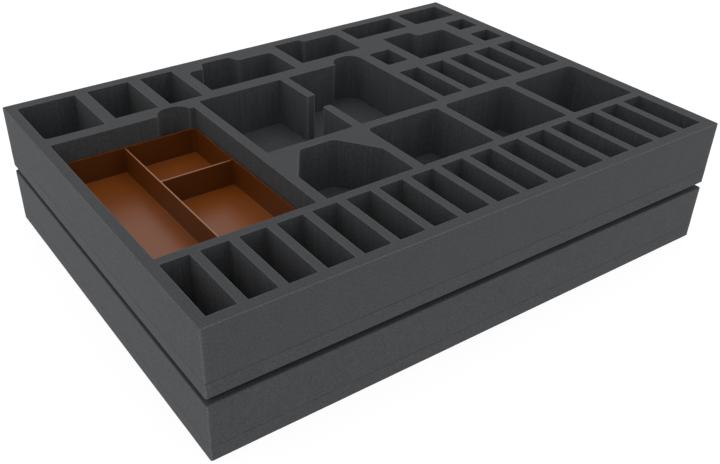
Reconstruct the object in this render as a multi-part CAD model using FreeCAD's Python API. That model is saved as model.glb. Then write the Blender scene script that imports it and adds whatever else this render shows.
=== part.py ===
import FreeCAD, Part
import math
import os

# A two-storey foam insert for a board-game box, with a moulded plastic card organizer.
# Each tray is a pocketed sheet of foam bonded to a plain base sheet of foam. The organizer
# stands in one pocket of the upper tray. Millimetres, +Z up, the front is -Y, and the origin is
# at the middle of the underside.

# Both trays
LENGTH = 390.0
DEPTH = 290.0
BORDER = 7.5  # foam left between the pockets and the outside
BASE_SHEET = 10.0
BOND = 0.15  # thickness of the adhesive film
BOND_INSET = 0.6  # the film stops this far short of every cut edge
UPPER_HEIGHT = 45.0
LOWER_HEIGHT = 40.0
LIFT = 4.4  # daylight between the two trays as displayed

# Cut-outs have sharp corners, apart from some back corners of the larger ones and of the bumps
CORNER_R = 4.0

# Upper tray, measured from the tray's front left corner
ROW_WEB = 6.5  # foam between the front row and the second row
SLOT_WIDTH = 17.5
SLOT_DEPTH = 51.0
FRONT_SLOTS = 16
RIGHT_SLOTS = 5
RIGHT_SLOTS_X = 266.5
RIGHT_SLOTS_Y = 135.0
CARD_WIDTH = 103.0
CARD_DEPTH = 152.5
NOTCH_WIDTH = 24.0  # finger notches
NOTCH_R = 10.5
CARD_NOTCH_X = 95.0
CARD_NOTCH_RISE = 9.0
SQUARE = 59.0
SQUARES = 3
SQUARE_PITCH = 66.5
TAPER_X = 118.0
TAPER_WIDTH = 64.5
TAPER_TOP = 26.0
TAPER_SHOULDER = 31.0
TAPER_R = 7.0  # its back right corner
ROOM_Y = 132.0
ROOM_WIDTH = 67.0
ROOM_DEPTH = 92.0
ROOM_WEB = 7.0
PASSAGE_START = 36.5
PASSAGE = 19.0
PASSAGE_R = 1.6
ROOM_NOTCH_RISE = 10.5
FLARE_R = 4.5  # where a bump's side runs into the back wall of its pocket
SMALL_FLARE_R = 2.5
# Plain pockets: left, front, width and depth
SMALL_POCKETS = [(268.5, 201.5, 19.0, 25.0), (363.5, 197.5, 19.0, 18.5), (363.5, 227.5, 19.0, 18.5)]
# Plain pockets that end at the back border: left, width and depth, and the radii of the two left corners,
# the front one first
BACK_POCKETS = [
    (7.5, 41.5, 55.0, 3.5, 2.0),
    (58.5, 31.5, 51.0, 0, 0),
    (99.5, 25.5, 51.0, 0, 0),
    (280.5, 51.0, 25.0, 0, 0),
    (341.0, 41.5, 25.0, 0, 0),
]
# Pockets with a bump at the left end of the back wall: left, front, width, depth, bump's width and depth
LEFT_BUMP = (297.0, 197.5, 55.0, 39.0, 28.0, 9.5)
SMALL_LEFT_BUMP = (216.0, 241.0, 55.0, 36.2, 24.0, 5.3)
# A pocket with a bump further along it: the same, with the bump's start before its width
MIDDLE_BUMP = (134.5, 235.5, 72.0, 37.5, 12.8, 30.2, 9.5)
BUMP_LEAN = 3.5  # how far each side of that bump leans in
BUMP_LEFT_R = 1.5  # both corners of its left side

# Lower tray
LOWER_COLUMNS = 3
LOWER_ROWS = 2
LOWER_WEB = 7.5

# Organizer
ORGANIZER_GAP = 0.75  # all round, to the walls of its pocket
ORGANIZER_HEIGHT = 20.0
WALL = 1.2
ORGANIZER_R = 4.0
LEFT_ROOM = 46.0
BACK_ROOM = 54.0

SECOND_ROW_Y = BORDER + SLOT_DEPTH + ROW_WEB
BACK_Y = DEPTH - BORDER
RIGHT_X = LENGTH - BORDER
UPPER_Z = LOWER_HEIGHT + LIFT
UPPER_FLOOR_Z = UPPER_Z + BASE_SHEET + BOND


def at(x, y):
    """A point given from a tray's front left corner."""
    return FreeCAD.Vector(x - LENGTH / 2, y - DEPTH / 2, 0)


def outline(corners):
    """A face in the XY plane with corners of (x, y, radius), each rounded by a tangent arc."""
    points = [at(x, y) for x, y, _ in corners]
    ends = []
    for i, (_, _, radius) in enumerate(corners):
        here = points[i]
        back = (points[i - 1] - here).normalize()
        ahead = (points[(i + 1) % len(points)] - here).normalize()
        half = back.getAngle(ahead) / 2
        run = radius / math.tan(half)
        middle = here + (back + ahead).normalize() * (radius / math.sin(half) - radius)
        ends.append((here + back * run, middle, here + ahead * run, radius))
    edges = []
    for i, (start, middle, end, radius) in enumerate(ends):
        if radius:
            edges.append(Part.Arc(start, middle, end).toShape())
        following = ends[(i + 1) % len(ends)][0]
        edges.append(Part.LineSegment(end, following).toShape())
    return Part.Face(Part.Wire(edges))


def rectangle(x0, y0, x1, y1, front=0, back=0):
    """A rectangle with one radius for its front corners and one for its back corners."""
    return outline([(x0, y0, front), (x1, y0, front), (x1, y1, back), (x0, y1, back)])


def notched(pocket, x, back_wall, rise):
    """The pocket with a round finger notch centred on x, which reaches rise behind its back wall."""
    x0 = x - NOTCH_WIDTH / 2
    top = back_wall + rise
    notch = rectangle(x0, top - NOTCH_WIDTH, x0 + NOTCH_WIDTH, top, NOTCH_R, NOTCH_R)
    return pocket.fuse(notch).removeSplitter().Faces[0]


def slot_row(count, x0, y0):
    """Equal upright slots from x0 to the right border."""
    pitch = (RIGHT_X - x0 - SLOT_WIDTH) / (count - 1)
    lefts = [x0 + i * pitch for i in range(count)]
    return [rectangle(x, y0, x + SLOT_WIDTH, y0 + SLOT_DEPTH) for x in lefts]


def card_pocket():
    """The organizer's pocket, with a finger notch in its back wall."""
    back_wall = SECOND_ROW_Y + CARD_DEPTH
    pocket = rectangle(BORDER, SECOND_ROW_Y, BORDER + CARD_WIDTH, back_wall)
    return notched(pocket, CARD_NOTCH_X, back_wall, CARD_NOTCH_RISE)


def tapered_pocket():
    """A pocket whose sides lean in to a narrower back wall."""
    x1 = TAPER_X + TAPER_WIDTH
    y1 = SECOND_ROW_Y + SQUARE
    shoulder = SECOND_ROW_Y + TAPER_SHOULDER
    lean = (TAPER_WIDTH - TAPER_TOP) / 2
    corners = [
        (TAPER_X, SECOND_ROW_Y, 0),
        (x1, SECOND_ROW_Y, 0),
        (x1, shoulder, CORNER_R),
        (x1 - lean, y1, TAPER_R),
        (TAPER_X + lean, y1, CORNER_R),
        (TAPER_X, shoulder, CORNER_R),
    ]
    return outline(corners)


def square_pockets():
    first = RIGHT_X - SQUARE - (SQUARES - 1) * SQUARE_PITCH
    lefts = [first + i * SQUARE_PITCH for i in range(SQUARES)]
    y1 = SECOND_ROW_Y + SQUARE
    return [rectangle(x, SECOND_ROW_Y, x + SQUARE, y1, 0, CORNER_R) for x in lefts]


def double_room():
    """Two equal rooms joined by a passage through their web, with a finger notch at the back right."""
    x0 = TAPER_X
    web0 = x0 + ROOM_WIDTH
    web1 = web0 + ROOM_WEB
    x1 = web1 + ROOM_WIDTH
    y0 = ROOM_Y
    y1 = y0 + ROOM_DEPTH
    passage0 = y0 + PASSAGE_START
    passage1 = passage0 + PASSAGE
    corners = [
        (x0, y0, 0),
        (web0, y0, 0),
        (web0, passage0, PASSAGE_R),
        (web1, passage0, PASSAGE_R),
        (web1, y0, 0),
        (x1, y0, 0),
        (x1, y1, 0),
        (web1, y1, 0),
        (web1, passage1, PASSAGE_R),
        (web0, passage1, PASSAGE_R),
        (web0, y1, 0),
        (x0, y1, 0),
    ]
    return notched(outline(corners), x1 - NOTCH_WIDTH / 2, y1, ROOM_NOTCH_RISE)


def middle_bump_pocket(x0, y0, width, depth, bump_start, bump_width, bump_depth):
    """A pocket with a bump along the middle of its back wall, whose sides lean in."""
    x1 = x0 + width
    y1 = y0 + depth
    bump0 = x0 + bump_start
    bump1 = bump0 + bump_width
    top = y1 + bump_depth
    corners = [
        (x0, y0, 0),
        (x1, y0, 0),
        (x1, y1, CORNER_R),
        (bump1, y1, FLARE_R),
        (bump1 - BUMP_LEAN, top, CORNER_R),
        (bump0 + BUMP_LEAN, top, BUMP_LEFT_R),
        (bump0, y1, BUMP_LEFT_R),
        (x0, y1, CORNER_R),
    ]
    return outline(corners)


def left_bump_pocket(x0, y0, width, depth, bump_width, bump_depth, flare):
    """A pocket with a bump at the left end of its back wall."""
    x1 = x0 + width
    y1 = y0 + depth
    bump = x0 + bump_width
    top = y1 + bump_depth
    corners = [
        (x0, y0, 0),
        (x1, y0, 0),
        (x1, y1, CORNER_R),
        (bump, y1, flare),
        (bump, top, flare),
        (x0, top, 0),
    ]
    return outline(corners)


def plain_pockets():
    small = [rectangle(x, y, x + width, y + depth) for x, y, width, depth in SMALL_POCKETS]
    back = []
    for x, width, depth, front_r, back_r in BACK_POCKETS:
        x1 = x + width
        y0 = BACK_Y - depth
        back.append(outline([(x, y0, front_r), (x1, y0, 0), (x1, BACK_Y, 0), (x, BACK_Y, back_r)]))
    return small + back


def upper_pockets():
    """Every cut-out of the upper tray, as faces."""
    pockets = slot_row(FRONT_SLOTS, BORDER, BORDER)
    pockets += slot_row(RIGHT_SLOTS, RIGHT_SLOTS_X, RIGHT_SLOTS_Y)
    pockets += square_pockets()
    pockets += plain_pockets()
    pockets += [card_pocket(), tapered_pocket(), double_room()]
    pockets.append(left_bump_pocket(*LEFT_BUMP, FLARE_R))
    pockets.append(left_bump_pocket(*SMALL_LEFT_BUMP, SMALL_FLARE_R))
    pockets.append(middle_bump_pocket(*MIDDLE_BUMP))
    return pockets


def lower_pockets():
    """An even grid of large pockets."""
    width = (LENGTH - 2 * BORDER - (LOWER_COLUMNS - 1) * LOWER_WEB) / LOWER_COLUMNS
    depth = (DEPTH - 2 * BORDER - (LOWER_ROWS - 1) * LOWER_WEB) / LOWER_ROWS
    pockets = []
    for row in range(LOWER_ROWS):
        y = BORDER + row * (depth + LOWER_WEB)
        for column in range(LOWER_COLUMNS):
            x = BORDER + column * (width + LOWER_WEB)
            pockets.append(rectangle(x, y, x + width, y + depth, CORNER_R, CORNER_R))
    return pockets


def prism(face, z0, z1):
    base = face.translated(FreeCAD.Vector(0, 0, z0))
    return base.extrude(FreeCAD.Vector(0, 0, z1 - z0))


def tray(name, z, height, pockets):
    """A tray's three layers: base sheet, adhesive film, pocketed sheet."""
    bond_z = z + BASE_SHEET
    cut_z = bond_z + BOND
    whole = rectangle(0, 0, LENGTH, DEPTH)
    film = rectangle(BOND_INSET, BOND_INSET, LENGTH - BOND_INSET, DEPTH - BOND_INSET)
    clear_of_film = [pocket.makeOffset2D(BOND_INSET) for pocket in pockets]
    return {
        name + "_base_foam": prism(whole, z, bond_z),
        name + "_bond_film": prism(film.cut(clear_of_film), bond_z, cut_z),
        name + "_cut_foam": prism(whole.cut(pockets), cut_z, z + height),
    }


def organizer():
    """An open box with one long divider and one short one, all rims level."""
    x0 = BORDER + ORGANIZER_GAP
    y0 = SECOND_ROW_Y + ORGANIZER_GAP
    x1 = BORDER + CARD_WIDTH - ORGANIZER_GAP
    y1 = SECOND_ROW_Y + CARD_DEPTH - ORGANIZER_GAP
    floor = UPPER_FLOOR_Z + WALL
    rim = UPPER_FLOOR_Z + ORGANIZER_HEIGHT
    left = x0 + WALL
    right = x1 - WALL
    front = y0 + WALL
    back = y1 - WALL
    middle = left + LEFT_ROOM
    shelf = back - BACK_ROOM - WALL
    inner_r = ORGANIZER_R - WALL
    body = prism(rectangle(x0, y0, x1, y1, ORGANIZER_R, ORGANIZER_R), UPPER_FLOOR_Z, rim)
    hollow = rectangle(left, front, right, back, inner_r, inner_r)
    long_divider = rectangle(middle, front, middle + WALL, back)
    short_divider = rectangle(middle + WALL, shelf, right, shelf + WALL)
    return body.cut(prism(hollow.cut([long_divider, short_divider]), floor, rim))


def main():
    os.makedirs("parts", exist_ok=True)
    parts = tray("lower", 0, LOWER_HEIGHT, lower_pockets())
    parts.update(tray("upper", UPPER_Z, UPPER_HEIGHT, upper_pockets()))
    parts["organizer"] = organizer()
    for name, shape in parts.items():
        solid = shape.Solids[0]
        box = solid.BoundBox
        sizes = [round(v, 2) for v in (box.XLength, box.YLength, box.ZMin, box.ZMax)]
        print(name, len(shape.Solids), solid.isValid(), round(solid.Volume / 1000, 2), "cm3", sizes)
        solid.exportStep("parts/" + name + ".step")


main()
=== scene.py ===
import math

import bmesh
import bpy
from mathutils import Euler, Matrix, Vector, geometry, kdtree, noise


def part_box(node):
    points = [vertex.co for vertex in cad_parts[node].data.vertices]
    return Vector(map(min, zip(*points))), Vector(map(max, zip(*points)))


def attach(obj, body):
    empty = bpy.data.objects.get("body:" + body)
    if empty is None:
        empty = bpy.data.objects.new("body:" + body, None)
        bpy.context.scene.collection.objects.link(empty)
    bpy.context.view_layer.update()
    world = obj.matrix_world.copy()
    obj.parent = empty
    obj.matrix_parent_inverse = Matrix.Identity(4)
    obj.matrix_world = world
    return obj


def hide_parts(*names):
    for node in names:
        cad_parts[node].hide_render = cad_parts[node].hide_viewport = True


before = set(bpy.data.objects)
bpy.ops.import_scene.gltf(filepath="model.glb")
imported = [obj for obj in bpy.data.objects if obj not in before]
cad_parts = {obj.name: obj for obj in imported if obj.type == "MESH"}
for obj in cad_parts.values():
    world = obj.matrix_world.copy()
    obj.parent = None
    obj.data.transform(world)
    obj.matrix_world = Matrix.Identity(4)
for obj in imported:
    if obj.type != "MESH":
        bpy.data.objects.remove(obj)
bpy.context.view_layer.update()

# A two-storey foam box insert, with a divided plastic organizer in one pocket of its upper tray.
# Every outline and height is read from the frame; the sizes below are in metres.
MM = 0.001

# Foam shapes
TOP_EDGE = 0.45 * MM  # radius of the pockets' rims and of the upper tray's outer top edge
SOFT_EDGE = 0.7 * MM  # radius of the lower tray's outer top edge, which is softer
UNDERSIDE_EDGE = 0.2 * MM  # radius of a tray's bottom edge
BOND_EDGE = 0.13 * MM  # radius of the edges beside the adhesive
OVER_LEFT = -0.3 * MM  # how far the cut trays overrun their nominal sides, along X and Y
OVER_RIGHT = 1.2 * MM
OVER_FRONT = -0.65 * MM
OVER_BACK = 1.2 * MM
TRAY_CORNER = 1.2 * MM  # plan radius of a tray's own corners
OUTER_CORNER = 0.9 * MM  # plan radius of a pocket's corner where the foam stands out
INNER_CORNER = 0.35 * MM  # plan radius of a pocket's corner that is cut into the foam
FOAM_STEP = 3 * MM  # spacing of points along a foam outline
FOAM_ROW = 6 * MM  # spacing of rows up a foam wall
FOAM_GRID = 5 * MM  # spacing of points inside a flat foam face
RELIEF = 0.06 * MM  # unevenness of a cut foam surface
RELIEF_SINK = 1.3  # taken from noise of -1 to 1, so that no point stands proud
RELIEF_WAVE = 22 * MM
RELIEF_FADE = RELIEF_WAVE / 4  # the relief fades out over this height beside the adhesive

# Organizer shapes
RIM_EDGE = 0.45 * MM  # radius of both edges of a rim
RIM_SUPPORT = 0.1 * MM  # flat strip kept beside them
UNDER_EDGE = 0.8 * MM  # radius round the underside
FLOOR_FILLET = 0.3 * MM
FLOOR_THICKNESS = 1.2 * MM
MOULD_CORNER = 0.5 * MM  # plan radius of the outside corners
ROOM_CORNER = 0.9 * MM  # plan radius of the rooms' corners
MOULD_STEP = 2.5 * MM  # spacing of points along the organizer's outlines
MOULD_GRID = 6 * MM  # spacing of points inside its flat faces
RIM_LIGHT_DEPTH = 0.9 * RIM_EDGE  # how far down the rims' painted highlight and painted shade reach
DIVIDER_FROM = 2.2 * MM  # a rim farther than this from the outside is a divider's

# Reading and rounding of outlines
WELD = 1e-6  # points nearer than this are one
FLAT = 1e-5  # a face this near a node's top belongs to its top
FACING_UP = 0.9
STRAIGHT = 1e-3  # a turn of less than this is none
SHARP = math.radians(20)  # a turn of more than this is a corner
CLEAR = 2.1 * MM  # an arc's points closer than this to a corner are dropped
ARC_TURN = math.radians(24)  # turn of one segment of a corner's arc
RUN_SHARE = 0.45  # a corner's arc takes up this share of the runs beside it at most
ROUND_STEPS = 4
SUPPORT = 0.4 * MM  # flat strip kept beside each rounded edge
GRID_GAP = 0.5  # share of the grid's spacing kept free beside an edge
BEND = 1.5 * MM  # a corner of this radius or less gets the full painted highlight

# Foam looks; colors are linear
FOAM_COLOR = (0.0452, 0.0469, 0.0502)
FOAM_ROUGHNESS = (0.82, 0.95)
FOAM_GLOSS = 0.35
FOAM_SHEEN = 0.043
FOAM_BUMP = 0.5
CELL = 0.7 * MM
CELL_DEPTH = 0.35 * CELL
CELL_TONE = 0.2
GRAIN = 1.1 * MM
GRAIN_TONE = 0.31
MOTTLE = 14 * MM
MOTTLE_TONE = 0.03
CUT_MARK = 1.5 * MM  # spacing of the cutter's marks
CUT_STRETCH = 0.03  # the marks change this share as fast up a wall as across it
CUT_DEPTH = 0.25 * CUT_MARK
CUT_TONE = 0.14
CUT_PALE = 0.04  # how much lighter a cut wall is than the foam's skin
OUTER_CUT = 0.15  # how much the outer walls show of both, beside 1 for the pockets' walls
POCKET_HIGHLIGHT = 0.6  # how strong the painted highlight on a pocket's rim is, beside 1 for the outer top edge
CORNER_HIGHLIGHT = 1.0  # the same for an upright corner
HIGHLIGHT_TONE = 0.7  # how much lighter the painted highlight makes an edge

# Organizer and adhesive looks
PLASTIC_COLOR = (0.2, 0.05, 0.0046)
PLASTIC_ROUGHNESS = (0.31, 0.34)
PLASTIC_IOR = 1.5
PLASTIC_SHEEN = 0.115
PLASTIC_TINT = (1.0, 0.27, 0.05, 1.0)
PLASTIC_WALL_SHADE = 0.43  # painted shade: the walls' tone beside the floors', as the walls catch less light
OUTER_RIM_SHADE = 0.6  # painted shade: the outer rim's tone beside the floors', for the dark foam wall close beside it
RIM_HIGHLIGHT = (0.085, 0.058, 0.041)  # painted highlight added to the dividers' rims, for the bright surroundings they reflect
WALL_GLOSS = 0.3
FLOOR_GLOSS = 0.52
RIM_MATT = 0.8  # how much of its gloss the outer rim loses
PEEL = 2.2 * MM
PEEL_DEPTH = 0.05 * MM
PEEL_BUMP = 0.35
SCUFF = 2.5 * MM
SCUFF_TONE = 0.01
CLOUD = 30 * MM
CLOUD_TONE = 0.04
SHEEN_ROUGHNESS = 0.5
FILM_COLOR = (0.014, 0.014, 0.015)
FILM_PATCH = 6 * MM
FILM_TONE = 0.3
FILM_ROUGHNESS = (0.4, 0.7)
FILM_DEPTH = 0.1 * MM
FILM_BUMP = 0.4

# Studio
WHITE = (1, 1, 1, 1)
FLOOR_SIZE = 6.0
FLOOR_COLOR = (0.16, 0.16, 0.16, 1)
FLOOR_ROUGHNESS = 0.9
FLOOR_GLOW = 0.885
SKY_LOW = 0.715  # radiance at the horizon
SKY_HIGH = 1.055  # radiance overhead
KEY_POWER = 1.5
KEY_SIZE = 1.6
KEY_DISTANCE = 2.2
KEY_AZIMUTH = math.radians(-90)  # from +Y towards +X
KEY_ELEVATION = math.radians(50)
CAMERA_AT = (-0.3319, -0.4467, 0.3577)
CAMERA_HEADING = math.radians(33.78)  # from +Y towards +X
CAMERA_TILT = math.radians(34.53)  # down from level
CAMERA_LENS = 44.78
CAMERA_SHIFT = (0.0644, 0.0298)


# Outlines, with the foam or plastic on their left

def turn_at(loop, i):
    """The signed turn at a loop's point, to the left positive."""
    ahead = loop[(i + 1) % len(loop)] - loop[i]
    behind = loop[i] - loop[i - 1]
    return math.atan2(behind.cross(ahead), behind.dot(ahead))


def bend_at(loop, i):
    """How sharply a loop stands out at a point.

    It is 1 for a radius of BEND or less, and 0 where the loop is straight or cut in.
    """
    run = ((loop[(i + 1) % len(loop)] - loop[i]).length + (loop[i] - loop[i - 1]).length) / 2
    return min(1.0, max(0.0, turn_at(loop, i) / run * BEND))


def area(loop):
    """The signed area of a loop, positive where it runs anticlockwise."""
    return sum(a.cross(b) for a, b in zip(loop, loop[1:] + loop[:1])) / 2


def chained(edges):
    """Closed loops of indexes, from pairs of them that are in no order."""
    following = dict(edges)
    loops = []
    while following:
        start, here = next(iter(following.items()))
        loop = [start]
        del following[start]
        while here != start:
            loop.append(here)
            here = following.pop(here)
        loops.append(loop)
    return loops


def straightened(loop):
    """The loop without the points that lie on a straight run."""
    return [p for i, p in enumerate(loop) if abs(turn_at(loop, i)) > STRAIGHT]


def outlines(node):
    """The outline of a node's highest flat face, then that of each opening in it."""
    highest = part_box(node)[1].z - FLAT
    bm = bmesh.new()
    bm.from_mesh(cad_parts[node].data)
    bmesh.ops.remove_doubles(bm, verts=bm.verts, dist=WELD)
    bm.verts.index_update()
    bm.verts.ensure_lookup_table()
    bm.normal_update()
    faces = [f for f in bm.faces if f.normal.z > FACING_UP and f.calc_center_median().z > highest]
    top = set(faces)
    edges = []
    for face in faces:
        for corner in face.loops:
            if not any(f in top for f in corner.edge.link_faces if f is not face):
                edges.append((corner.vert.index, corner.link_loop_next.vert.index))
    loops = [[bm.verts[i].co.to_2d() for i in chain] for chain in chained(edges)]
    bm.free()
    return sorted((straightened(loop) for loop in loops), key=lambda loop: -area(loop))


def cleared(loop):
    """The loop without the points of an arc that leave a sharp corner no room to be rounded."""
    sharp = [p for i, p in enumerate(loop) if abs(turn_at(loop, i)) > SHARP]
    return [p for p in loop if p in sharp or all((p - q).length > CLEAR for q in sharp)]


def softened(loop, outer, inner):
    """The loop with its corners rounded, by one radius where it stands out and one where it is cut in."""
    points = []
    loop = cleared(loop)
    for i, here in enumerate(loop):
        turn = turn_at(loop, i)
        if abs(turn) < SHARP:
            points.append(here)
            continue
        back = loop[i - 1] - here
        ahead = loop[(i + 1) % len(loop)] - here
        radius = outer if turn > 0 else inner
        run = min(radius * math.tan(abs(turn) / 2), RUN_SHARE * back.length, RUN_SHARE * ahead.length)
        start = here + back.normalized() * run
        end = here + ahead.normalized() * run
        steps = max(2, round(abs(turn) / ARC_TURN))
        radius = run / math.tan(abs(turn) / 2)
        side = 1 if turn > 0 else -1
        centre = start + Vector((back.y, -back.x)).normalized() * radius * side
        spoke = start - centre
        for k in range(steps + 1):
            angle = turn * k / steps
            c, s = math.cos(angle), math.sin(angle)
            points.append(centre + Vector((c * spoke.x - s * spoke.y, s * spoke.x + c * spoke.y)))
        points[-1] = end
    return points


def overrun(loop):
    """A tray's outline moved out to the size its foam was really cut."""
    points = []
    for p in loop:
        along_x = OVER_RIGHT if p.x > 0 else OVER_LEFT
        along_y = OVER_BACK if p.y > 0 else OVER_FRONT
        points.append(p + Vector((along_x, along_y)))
    return points


def spaced(loop, step):
    """The loop with points added along its long runs."""
    points = []
    for i, here in enumerate(loop):
        ahead = loop[(i + 1) % len(loop)]
        pieces = max(1, math.ceil((ahead - here).length / step))
        points += [here.lerp(ahead, k / pieces) for k in range(pieces)]
    return points


def moved_in(loop, distance):
    """The loop moved to its left, into the foam or plastic."""
    points = []
    for i, here in enumerate(loop):
        a = (here - loop[i - 1]).normalized()
        b = (loop[(i + 1) % len(loop)] - here).normalized()
        left = Vector((-a.y - b.y, a.x + b.x))
        points.append(here + left * (distance / (1 + a.dot(b))))
    return points


# Surfaces

def arc(radius):
    """Points of a quarter turn, as pairs (in from the wall, down from the face), wall first."""
    turns = [math.pi / 2 * k / ROUND_STEPS for k in range(ROUND_STEPS + 1)]
    return [(radius * (1 - math.cos(a)), radius * (1 - math.sin(a))) for a in turns]


def wall_profile(z0, z1, low_edge, high_edge, row, support=SUPPORT):
    """A wall from z0 to z1, as pairs (in from the wall, height), both ends rounded over."""
    low = [(x, z0 + drop) for x, drop in reversed(arc(low_edge))]
    high = [(x, z1 - drop) for x, drop in arc(high_edge)]
    start = z0 + low_edge + support
    end = z1 - high_edge - support
    rows = max(1, round((end - start) / row))
    wall = [(0, start + (end - start) * k / rows) for k in range(rows + 1)]
    return [(low_edge + support, z0)] + low + wall + high + [(high_edge + support, z1)]


def room_profile(floor, rim):
    """The wall of an organizer's room, filleted at its floor and rounded over at its rim."""
    fillet = [(-x, floor + drop) for x, drop in reversed(arc(FLOOR_FILLET))]
    wall = [(0, floor + FLOOR_FILLET + SUPPORT), (0, rim - RIM_EDGE - RIM_SUPPORT)]
    over = [(x, rim - drop) for x, drop in arc(RIM_EDGE)]
    return [(-FLOOR_FILLET - SUPPORT, floor)] + fillet + wall + over + [(RIM_EDGE + RIM_SUPPORT, rim)]


def swept(bm, loop, profile, marks=()):
    """Rings of vertices round a loop, joined by quads. Returns the first ring and the last.

    A mark is a vertex layer and a function that gives its value from the loop's index and a
    profile point.
    """
    rings = []
    for distance, z in profile:
        ring = [bm.verts.new((p.x, p.y, z)) for p in moved_in(loop, distance)]
        for layer, value in marks:
            for i, v in enumerate(ring):
                v[layer] = value(i, distance, z)
        rings.append(ring)
    for lower, upper in zip(rings, rings[1:]):
        for i in range(len(loop)):
            bm.faces.new((lower[i - 1], lower[i], upper[i], upper[i - 1]))
    return rings[0], rings[-1]


def tree_of(points):
    """A search tree of points in plan."""
    tree = kdtree.KDTree(len(points))
    for i, p in enumerate(points):
        tree.insert((p.x, p.y, 0), i)
    tree.balance()
    return tree


def capped(bm, rings, grid):
    """A flat face inside the first ring and outside the others, with a staggered grid of points in it."""
    z = rings[0][0].co.z
    verts = [v for ring in rings for v in ring]
    points = [v.co.to_2d() for v in verts]
    low = Vector((min(p.x for p in points), min(p.y for p in points)))
    high = Vector((max(p.x for p in points), max(p.y for p in points)))
    loops = []
    start = 0
    for ring in rings:
        loop = list(range(start, start + len(ring)))
        if area([points[i] for i in loop]) < 0:
            loop.reverse()
        loops.append(loop)
        start += len(ring)
    near = tree_of(points)
    columns = round((high.x - low.x) / grid)
    rows = round((high.y - low.y) / grid)
    for row in range(1, rows):
        for column in range(1, columns):
            x = low.x + (high.x - low.x) * (column + 0.5 * (row % 2) - 0.25) / columns
            y = low.y + (high.y - low.y) * row / rows
            if near.find((x, y, 0))[2] > GRID_GAP * grid:
                points.append(Vector((x, y)))
    result = geometry.delaunay_2d_cdt(points, [], loops, 1, 1e-9)
    made, triangles, sources, inside = result[0], result[2], result[3], result[5]
    known = {}
    for i, origins in enumerate(sources):
        for k in origins:
            if k < len(verts):
                known[i] = verts[k]
    for triangle, faces in zip(triangles, inside):
        if set(faces) != {0}:
            continue
        for i in triangle:
            if i not in known:
                known[i] = bm.verts.new((made[i].x, made[i].y, z))
        bm.faces.new([known[i] for i in triangle])


def relief(bm, bonded):
    """Lets the surface sink in a little here and there, fading to nothing at the bonded height."""
    bmesh.ops.recalc_face_normals(bm, faces=bm.faces)
    bm.normal_update()
    moves = []
    for v in bm.verts:
        fade = min(1, abs(v.co.z - bonded) / RELIEF_FADE)
        amount = (noise.noise(v.co / RELIEF_WAVE) - RELIEF_SINK) * RELIEF * fade
        moves.append(v.normal * amount)
    for v, move in zip(bm.verts, moves):
        v.co += move


# Pieces

def added(name, data):
    """A new object in the scene."""
    made = bpy.data.objects.new(name, data)
    bpy.context.scene.collection.objects.link(made)
    return made


def piece_from(bm, name, material):
    """A smooth-shaded piece in one material."""
    bmesh.ops.recalc_face_normals(bm, faces=bm.faces)
    mesh = bpy.data.meshes.new(name)
    bm.to_mesh(mesh)
    bm.free()
    mesh.shade_smooth()
    mesh.materials.append(material)
    return added(name, mesh)


def edge_highlight(bend, x, depth, highlight_amount):
    """Painted highlight on the rounded top edge of a sheet and on its upright corners, standing for the
    light they catch.
    """
    on_edge = depth < TOP_EDGE and x < TOP_EDGE
    return max(highlight_amount * on_edge, CORNER_HIGHLIGHT * bend * (x <= 0))


def foam_sheet(node, name, pocket_edges, outer_edges, top_highlight, bonded, body, material):
    """A sheet of foam with softened edges, standing for a node.

    Edges are pairs of radii (low, high), of the pockets and of the sheet's outer sides.
    """
    low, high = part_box(node)
    bm = bmesh.new()
    # a layer for the painted highlight on the edges and upright corners
    painted_highlight = bm.verts.layers.float.new("painted_highlight")
    cut = bm.verts.layers.float.new("cut")
    ends = []
    for number, loop in enumerate(outlines(node)):
        if number == 0:
            smooth = overrun(softened(loop, TRAY_CORNER, 0))
            edges, highlight_amount, shown = outer_edges, top_highlight, OUTER_CUT
        else:
            smooth = softened(loop, OUTER_CORNER, INNER_CORNER)
            edges, highlight_amount, shown = pocket_edges, POCKET_HIGHLIGHT, 1.0
        smooth = spaced(smooth, FOAM_STEP)
        bends = [bend_at(smooth, k) for k in range(len(smooth))]
        marks = [
            (painted_highlight, lambda k, x, z: edge_highlight(bends[k], x, high.z - z, highlight_amount)),
            (cut, lambda k, x, z: shown),
        ]
        profile = wall_profile(low.z, high.z, *edges, FOAM_ROW)
        ends.append(swept(bm, smooth, profile, marks))
    capped(bm, [first for first, _ in ends], FOAM_GRID)
    capped(bm, [last for _, last in ends], FOAM_GRID)
    relief(bm, bonded)
    piece = piece_from(bm, name, material)
    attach(piece, body)
    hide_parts(node)


def moulded_organizer(node, name, body, material):
    """The organizer: an outer shell, and a rounded room for each opening in its rim."""
    low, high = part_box(node)
    outer, *rooms = outlines(node)
    bm = bmesh.new()
    outside = spaced(softened(outer, MOULD_CORNER, MOULD_CORNER), MOULD_STEP)
    wall = wall_profile(low.z, high.z, UNDER_EDGE, RIM_EDGE, high.z - low.z, RIM_SUPPORT)
    under, rim = swept(bm, outside, wall)
    capped(bm, [under], MOULD_GRID)
    rims = [rim]
    profile = room_profile(low.z + FLOOR_THICKNESS, high.z)
    for room in rooms:
        inside = spaced(softened(room, ROOM_CORNER, ROOM_CORNER), MOULD_STEP)
        bottom, rim = swept(bm, inside, profile)
        capped(bm, [bottom], MOULD_GRID)
        rims.append(rim)
    capped(bm, rims, MOULD_GRID)
    # where light is painted on the rims: 1 for the painted highlight on the dividers' rims, -1 for the
    # painted shade on the outer rim, 0 elsewhere
    rim_light = bm.verts.layers.float.new("rim_light")
    near = tree_of(outside)
    for v in bm.verts:
        if v.co.z > high.z - RIM_LIGHT_DEPTH:
            v[rim_light] = 1.0 if near.find((v.co.x, v.co.y, 0))[2] > DIVIDER_FROM else -1.0
    piece = piece_from(bm, name, material)
    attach(piece, body)
    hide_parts(node)


# Materials

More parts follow.
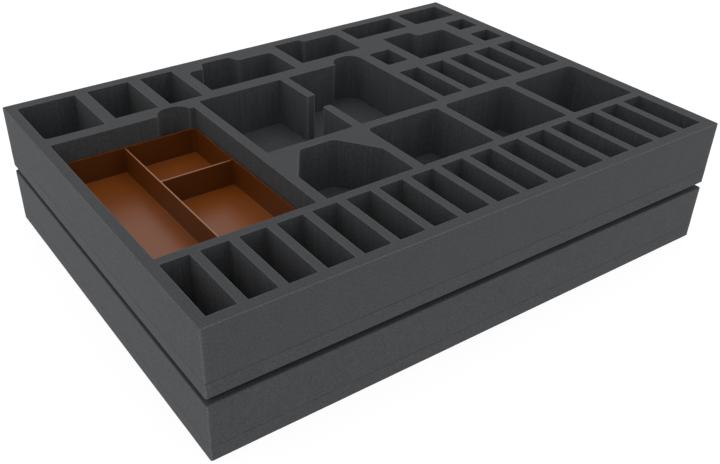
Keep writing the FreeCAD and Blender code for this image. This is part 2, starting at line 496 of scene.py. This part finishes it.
def add_node(tree, kind, inputs=(), **settings):
    """A shader node, with its inputs set or linked."""
    made = tree.nodes.new("ShaderNode" + kind)
    for key, value in settings.items():
        setattr(made, key, value)
    for key, value in dict(inputs).items():
        if isinstance(value, bpy.types.NodeSocket):
            tree.links.new(value, made.inputs[key])
        else:
            made.inputs[key].default_value = value
    return made


class Shader:
    """A material whose node tree is built one line at a time."""

    def __init__(self, name):
        self.material = bpy.data.materials.new(name)
        self.material.use_nodes = True
        self.tree = self.material.node_tree
        self.surface = self.tree.nodes["Principled BSDF"]

    def node(self, kind, inputs=(), **settings):
        return add_node(self.tree, kind, inputs, **settings)

    def math(self, operation, a, b=0.0, c=0.0):
        return self.node("Math", {0: a, 1: b, 2: c}, operation=operation).outputs[0]

    def times(self, a, b):
        return self.math("MULTIPLY", a, b)

    def placed(self, offset=(0, 0, 0), scale=(1, 1, 1)):
        """Object coordinates, scaled and then shifted."""
        place = self.node("TexCoord").outputs["Object"]
        return self.node("Mapping", {"Vector": place, "Scale": scale, "Location": offset}).outputs[0]

    def level(self):
        """How level the surface is: 1 on a flat floor, 0 on an upright wall."""
        normal = self.node("NewGeometry").outputs["Normal"]
        return self.math("ABSOLUTE", self.node("SeparateXYZ", {0: normal}).outputs["Z"])

    def attribute(self, name):
        """A value kept on the mesh's points."""
        return self.node("Attribute", attribute_name=name).outputs["Fac"]

    def noise(self, place, size, detail=2.0, roughness=0.5):
        """Smooth noise from 0 to 1, with features of about a size."""
        inputs = {"Vector": place, "Scale": 1 / size, "Detail": detail, "Roughness": roughness}
        return self.node("TexNoise", inputs).outputs["Fac"]

    def cells(self, place, size):
        """Distance from the middle of each cell, 0 to about 1."""
        return self.node("TexVoronoi", {"Vector": place, "Scale": 1 / size}).outputs["Distance"]

    def between(self, value, at_low, at_high, low=0.0, high=1.0):
        """The value, clamped to low and high, stretched to run from at_low to at_high."""
        inputs = {"Value": value, "From Min": low, "From Max": high, "To Min": at_low, "To Max": at_high}
        return self.node("MapRange", inputs).outputs[0]

    def spread(self, value, at_low, at_high):
        """Noise, whose usual range is 0.3 to 0.7, stretched to run from at_low to at_high."""
        return self.between(value, at_low, at_high, 0.3, 0.7)

    def varied(self, value, amount):
        """Noise, stretched to run an amount to either side of 1."""
        return self.spread(value, 1 - amount, 1 + amount)

    def shade(self, color, amount):
        """The color multiplied by an amount."""
        return self.node("VectorMath", {0: color, "Scale": amount}, operation="SCALE").outputs[0]

    def bump(self, height, distance, strength, under=None):
        inputs = {"Height": height, "Distance": distance, "Strength": strength}
        if under is not None:
            inputs["Normal"] = under
        return self.node("Bump", inputs).outputs[0]

    def set(self, **values):
        """Sets or links the surface's own sockets."""
        for key, value in values.items():
            socket = self.surface.inputs[key.replace("_", " ")]
            if isinstance(value, bpy.types.NodeSocket):
                self.tree.links.new(value, socket)
            else:
                socket.default_value = value


def foam_material(name, offset):
    """Closed-cell foam: fine cells, mottled tone, and upright cutter marks on its walls."""
    m = Shader(name)
    place = m.placed(offset)
    wall = m.times(m.math("SUBTRACT", 1.0, m.level()), m.attribute("cut"))
    cells = m.cells(place, CELL)
    grain = m.noise(place, GRAIN, detail=3, roughness=0.65)
    mottle = m.noise(place, MOTTLE, detail=3)
    marks = m.noise(m.placed(offset, (1, 1, CUT_STRETCH)), CUT_MARK, detail=2, roughness=0.6)
    streaks = m.spread(marks, CUT_PALE - CUT_TONE, CUT_PALE + CUT_TONE)
    tone = m.times(m.varied(grain, GRAIN_TONE), m.varied(mottle, MOTTLE_TONE))
    tone = m.times(tone, m.between(cells, 1 + CELL_TONE, 1 - CELL_TONE))
    tone = m.times(tone, m.math("MULTIPLY_ADD", streaks, wall, 1.0))
    # painted highlight: marked edges and corners are drawn lighter, standing for the light they catch
    tone = m.times(tone, m.math("MULTIPLY_ADD", m.attribute("painted_highlight"), HIGHLIGHT_TONE, 1.0))
    pits = m.bump(cells, CELL_DEPTH, FOAM_BUMP)
    m.set(Base_Color=m.shade(FOAM_COLOR, tone), Roughness=m.spread(grain, *FOAM_ROUGHNESS))
    m.set(Normal=m.bump(m.times(marks, wall), CUT_DEPTH, FOAM_BUMP, pits), Specular_IOR_Level=FOAM_GLOSS)
    m.set(Sheen_Weight=m.times(tone, FOAM_SHEEN), Sheen_Roughness=SHEEN_ROUGHNESS)
    return m.material


def organizer_material():
    """Satin moulded plastic with a faint orange-peel surface and light handling scuffs, with painted
    shade on its walls and outer rim and a painted highlight on its dividers' rims.
    """
    m = Shader("organizer_plastic")
    place = m.placed((0.3, 0.1, 0.2))
    peel = m.noise(place, PEEL, detail=1)
    cloud = m.noise(place, CLOUD, detail=2)
    scuffs = m.noise(m.placed((0.7, 0.2, 0)), SCUFF, detail=3, roughness=0.6)
    level = m.level()
    rim_light = m.attribute("rim_light")
    shaded_outer_rim = m.math("MINIMUM", rim_light, 0.0)
    tone = m.times(m.varied(cloud, CLOUD_TONE), m.varied(scuffs, SCUFF_TONE))
    # painted shade: upright walls are drawn darker than the floors
    tone = m.times(tone, m.between(level, PLASTIC_WALL_SHADE, 1.0))
    # painted shade: the outer rim is drawn darker
    tone = m.times(tone, m.math("MULTIPLY_ADD", shaded_outer_rim, 1 - OUTER_RIM_SHADE, 1.0))
    # painted highlight: the dividers' rims are drawn paler
    rim_highlight = m.shade(RIM_HIGHLIGHT, m.math("MAXIMUM", rim_light, 0.0))
    color = m.node("VectorMath", {0: m.shade(PLASTIC_COLOR, tone), 1: rim_highlight}, operation="ADD")
    gloss = m.between(level, WALL_GLOSS, FLOOR_GLOSS)
    gloss = m.times(gloss, m.math("MULTIPLY_ADD", shaded_outer_rim, RIM_MATT, 1.0))
    m.set(Base_Color=color.outputs[0], Roughness=m.spread(scuffs, *PLASTIC_ROUGHNESS))
    m.set(IOR=PLASTIC_IOR, Specular_IOR_Level=gloss, Normal=m.bump(peel, PEEL_DEPTH, PEEL_BUMP))
    m.set(Sheen_Weight=PLASTIC_SHEEN, Sheen_Roughness=SHEEN_ROUGHNESS, Sheen_Tint=PLASTIC_TINT)
    return m.material


def film_material():
    """Dark adhesive, uneven along its edge."""
    m = Shader("bond_film")
    patches = m.noise(m.placed(), FILM_PATCH, detail=3)
    m.set(Base_Color=m.shade(FILM_COLOR, m.varied(patches, FILM_TONE)))
    m.set(Roughness=m.spread(patches, *FILM_ROUGHNESS), Normal=m.bump(patches, FILM_DEPTH, FILM_BUMP))
    return m.material


# Studio

def studio_floor():
    """A wide floor with a glow of its own, which reads as white."""
    bm = bmesh.new()
    bmesh.ops.create_grid(bm, x_segments=1, y_segments=1, size=FLOOR_SIZE)
    mesh = bpy.data.meshes.new("floor")
    bm.to_mesh(mesh)
    bm.free()
    m = Shader("floor")
    m.set(Base_Color=FLOOR_COLOR, Roughness=FLOOR_ROUGHNESS)
    m.set(Emission_Color=WHITE, Emission_Strength=FLOOR_GLOW)
    mesh.materials.append(m.material)
    floor = added("floor", mesh)


def key_light():
    """A round area light from the left, aimed at the object."""
    data = bpy.data.lights.new("left_light", "AREA")
    data.shape = "DISK"
    data.size = KEY_SIZE
    data.energy = KEY_POWER
    light = added("left_light", data)
    a, e = KEY_AZIMUTH, KEY_ELEVATION
    towards = Vector((math.sin(a) * math.cos(e), math.cos(a) * math.cos(e), math.sin(e)))
    light.location = KEY_DISTANCE * towards
    light.rotation_euler = (-light.location).to_track_quat("-Z", "Y").to_euler()


def studio_sky():
    """White light from all round, stronger overhead than at the horizon."""
    world = bpy.data.worlds.new("studio")
    world.use_nodes = True
    tree = world.node_tree
    direction = add_node(tree, "TexCoord").outputs["Generated"]
    rise = add_node(tree, "SeparateXYZ", {0: direction}).outputs["Z"]
    glow = add_node(tree, "MapRange", {"Value": rise, "To Min": SKY_LOW, "To Max": SKY_HIGH})
    background = tree.nodes["Background"]
    background.inputs["Color"].default_value = WHITE
    tree.links.new(glow.outputs[0], background.inputs["Strength"])
    bpy.context.scene.world = world


def studio_camera():
    """The camera, with a shifted lens."""
    data = bpy.data.cameras.new("camera")
    data.lens = CAMERA_LENS
    data.shift_x, data.shift_y = CAMERA_SHIFT
    camera = added("camera", data)
    camera.location = CAMERA_AT
    camera.rotation_euler = Euler((math.pi / 2 - CAMERA_TILT, 0, -CAMERA_HEADING), "XYZ")
    bpy.context.scene.camera = camera


film = film_material()
under = (UNDERSIDE_EDGE, BOND_EDGE)
pocket = (BOND_EDGE, TOP_EDGE)
# the upper tray's outer top edge gets the full painted highlight, the lower tray's none
for tray, shift, top_edge, top_highlight in (("lower", 0.0, SOFT_EDGE, 0.0), ("upper", 0.37, TOP_EDGE, 1.0)):
    over = (BOND_EDGE, top_edge)
    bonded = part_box(tray + "_base_foam")[1].z
    body = tray + "_tray"
    base_foam = foam_material(tray + "_base_foam_material", (shift, 0.11, 0.0))
    cut_foam = foam_material(tray + "_cut_foam_material", (0.0, shift, 0.53))
    foam_sheet(tray + "_base_foam", tray + "_base_sheet", (), under, 0, bonded, body, base_foam)
    foam_sheet(tray + "_cut_foam", tray + "_pocket_sheet", pocket, over, top_highlight, bonded, body, cut_foam)
    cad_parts[tray + "_bond_film"].data.materials.clear()
    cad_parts[tray + "_bond_film"].data.materials.append(film)
moulded_organizer("organizer", "organizer_shell", "organizer", organizer_material())
studio_floor()
key_light()
studio_sky()
studio_camera()
bpy.context.scene.view_settings.view_transform = "Standard"
